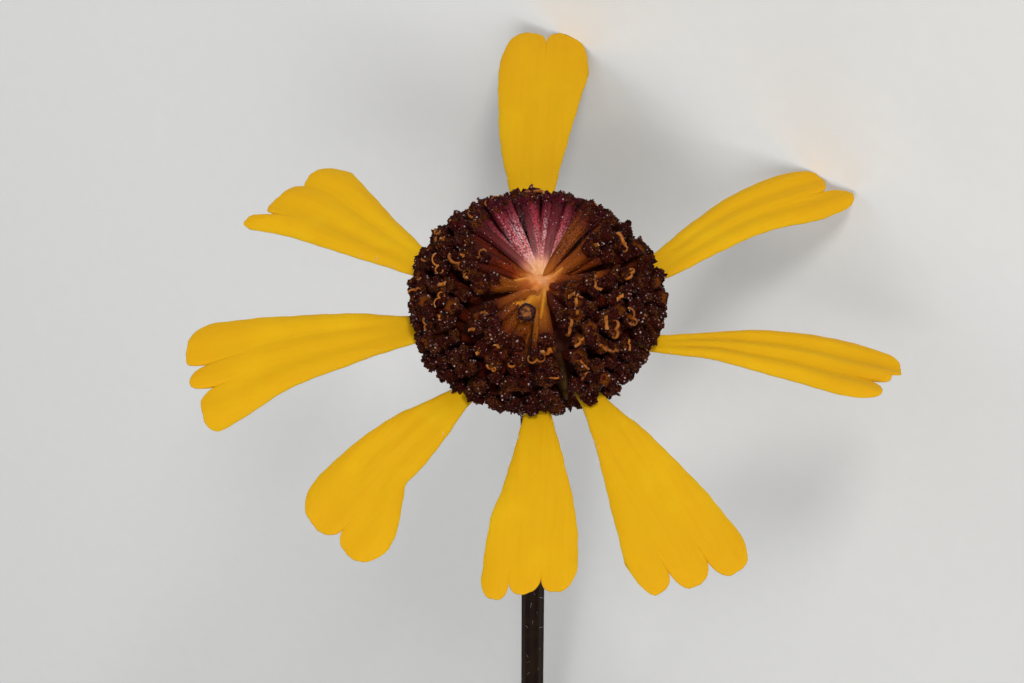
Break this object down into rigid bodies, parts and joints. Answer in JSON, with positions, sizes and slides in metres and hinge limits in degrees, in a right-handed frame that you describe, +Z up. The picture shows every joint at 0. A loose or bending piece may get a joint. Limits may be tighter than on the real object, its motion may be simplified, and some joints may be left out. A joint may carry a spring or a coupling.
{
  "type": "cut sneezeweed flower",
  "caption": "Cut sneezeweed flower lying on petal tips and stem end: domed disc of dark lobed florets, notched yellow ray petals, green reflexed bracts, bare curved stem.",
  "frame": {"origin": "on the surface that the flower lies on, under the middle of its bounding box", "axes": "+Z up from the surface, the stem runs back along +Y, the face of the flower looks to -Y and slightly up"},
  "size_m": [0.0373, 0.0993, 0.0369],
  "materials": {
    "stem": "matte, ridged, thinly hairy",
    "involucre": "matte, downy green",
    "disc": "matte, grainy dark purple-brown",
    "tubes": "satin, pale orange",
    "petal": "velvety matte golden yellow"
  },
  "bodies": {
    "root": {"stem": "stem", "involucre": "involucre", "disc_florets": "disc", "bared_floret_tubes": "tubes", "ray_petal_1": "petal", "ray_petal_2": "petal", "ray_petal_3": "petal", "ray_petal_4": "petal", "ray_petal_5": "petal", "ray_petal_6": "petal", "ray_petal_7": "petal", "ray_petal_8": "petal"}
  },
  "joints": []
}
